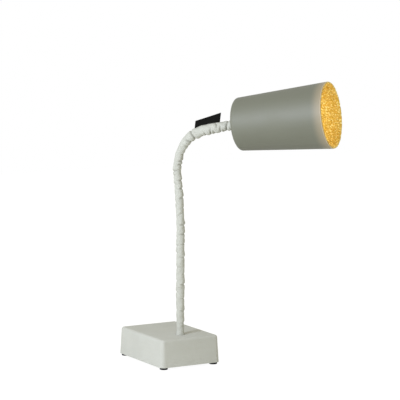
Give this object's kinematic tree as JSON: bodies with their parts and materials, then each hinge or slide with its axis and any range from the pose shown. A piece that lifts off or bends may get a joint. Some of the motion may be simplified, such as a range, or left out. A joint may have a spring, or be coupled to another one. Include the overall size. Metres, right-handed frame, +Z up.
{
  "type": "desk lamp",
  "caption": "Desk lamp: bendable neck in a gathered cloth sleeve on a weighted drafted block base, with a tapered cup shade lined with gold leaf.",
  "frame": {"origin": "middle of the base, on the plane that its feet stand on", "axes": "+Z up, X along the base's long side with the neck towards +X and the cord inlet at -X, Y along its short side"},
  "size_m": [0.3897, 0.2915, 0.5295],
  "materials": {
    "cast_base": "matte",
    "cover_paint": "satin",
    "foot_rubber": "matte",
    "ballast_iron": "matte",
    "zinc_steel": "satin",
    "gland_plastic": "matte",
    "terminal_plastic": "matte",
    "contact_brass": "satin",
    "gooseneck_steel": "satin",
    "sleeve_cloth": "matte",
    "lead_sheath": "matte",
    "tab_cloth": "matte",
    "shade_shell": "matte",
    "gold_leaf": "satin",
    "holder_plastic": "satin",
    "bulb_metal": "satin",
    "bulb_plastic": "matte",
    "opal_glass": "satin"
  },
  "bodies": {
    "base": {"base_housing": "cast_base", "bottom_cover": "cover_paint", "rubber_feet": "foot_rubber", "foot_screws": "zinc_steel", "ballast_block": "ballast_iron", "ballast_screws": "zinc_steel", "cord_gland": "gland_plastic", "gland_nut": "gland_plastic", "terminal_block": "terminal_plastic", "terminal_screws": "contact_brass", "neck_base_ferrule": "zinc_steel", "neck_washer": "zinc_steel", "neck_nut": "zinc_steel", "gooseneck_1": "gooseneck_steel", "sleeve_1": "sleeve_cloth", "lead_1": "lead_sheath"},
    "neck_1": {"gooseneck_2": "gooseneck_steel", "sleeve_2": "sleeve_cloth", "lead_2": "lead_sheath"},
    "neck_2": {"gooseneck_3": "gooseneck_steel", "sleeve_3": "sleeve_cloth", "lead_3": "lead_sheath"},
    "neck_3": {"gooseneck_4": "gooseneck_steel", "sleeve_4": "sleeve_cloth", "lead_4": "lead_sheath"},
    "neck_4": {"gooseneck_5": "gooseneck_steel", "sleeve_5": "sleeve_cloth", "lead_5": "lead_sheath"},
    "neck_5": {"gooseneck_6": "gooseneck_steel", "sleeve_6": "sleeve_cloth", "lead_6": "lead_sheath"},
    "neck_6": {"gooseneck_7": "gooseneck_steel", "sleeve_7": "sleeve_cloth", "lead_7": "lead_sheath"},
    "neck_7": {"gooseneck_8": "gooseneck_steel", "sleeve_8": "sleeve_cloth", "lead_8": "lead_sheath"},
    "neck_8": {"gooseneck_9": "gooseneck_steel", "sleeve_9": "sleeve_cloth", "lead_9": "lead_sheath", "sleeve_tab": "tab_cloth"},
    "head": {"gooseneck_10": "gooseneck_steel", "sleeve_10": "sleeve_cloth", "lead_10": "lead_sheath", "neck_tip_ferrule": "zinc_steel", "shade_outer_washer": "zinc_steel", "shade_cup": "shade_shell", "shade_lining": "gold_leaf", "shade_inner_washer": "zinc_steel", "shade_nut": "zinc_steel", "holder_cap": "holder_plastic", "holder_body": "holder_plastic", "holder_screw_shell": "contact_brass", "holder_contact": "contact_brass", "bulb_cap": "bulb_metal", "bulb_collar": "bulb_plastic", "bulb_globe": "opal_glass"}
  },
  "joints": [
    {"name": "neck_lean", "type": "hinge", "parent": "base", "child": "neck_1", "pos_m": [0.04325, 0, 0.09925], "axis": [0.6347, -0.7727, 0], "range_deg": [-15, 15]},
    {"name": "neck_sway", "type": "hinge", "parent": "neck_1", "child": "neck_2", "pos_m": [0.04325, 0, 0.15395], "axis": [-0.7727, -0.6347, 0], "range_deg": [-15, 15]},
    {"name": "neck_lean_upper", "type": "hinge", "parent": "neck_2", "child": "neck_3", "pos_m": [0.04325, 0, 0.20816], "axis": [0.6347, -0.7727, 0], "range_deg": [-15, 15]},
    {"name": "neck_sway_upper", "type": "hinge", "parent": "neck_3", "child": "neck_4", "pos_m": [0.04316, -0.00007, 0.26285], "axis": [-0.7726, -0.6346, -0.0161], "range_deg": [-15, 15]},
    {"name": "head_nod", "type": "hinge", "parent": "neck_4", "child": "neck_5", "pos_m": [0.04133, -0.00158, 0.3146], "axis": [0.6347, -0.7727, 0], "range_deg": [-20, 20]},
    {"name": "head_turn", "type": "hinge", "parent": "neck_5", "child": "neck_6", "pos_m": [0.03894, -0.00354, 0.35574], "axis": [-0.7706, -0.6329, -0.075], "range_deg": [-20, 20]},
    {"name": "head_nod_middle", "type": "hinge", "parent": "neck_6", "child": "neck_7", "pos_m": [0.0426, -0.00053, 0.39298], "axis": [0.6347, -0.7727, 0], "range_deg": [-20, 20]},
    {"name": "head_turn_upper", "type": "hinge", "parent": "neck_7", "child": "neck_8", "pos_m": [0.05735, 0.01158, 0.42145], "axis": [-0.5352, -0.4396, 0.7213], "range_deg": [-20, 20]},
    {"name": "head_nod_upper", "type": "hinge", "parent": "neck_8", "child": "head", "pos_m": [0.10423, 0.05009, 0.44397], "axis": [0.6347, -0.7727, 0], "range_deg": [-20, 20]}
  ],
  "couplings": [
    {"joint": "neck_lean_upper", "follows": "neck_lean", "ratio": 1},
    {"joint": "neck_sway_upper", "follows": "neck_sway", "ratio": 1},
    {"joint": "head_nod_middle", "follows": "head_nod", "ratio": 1},
    {"joint": "head_nod_upper", "follows": "head_nod", "ratio": 1},
    {"joint": "head_turn_upper", "follows": "head_turn", "ratio": 1}
  ]
}
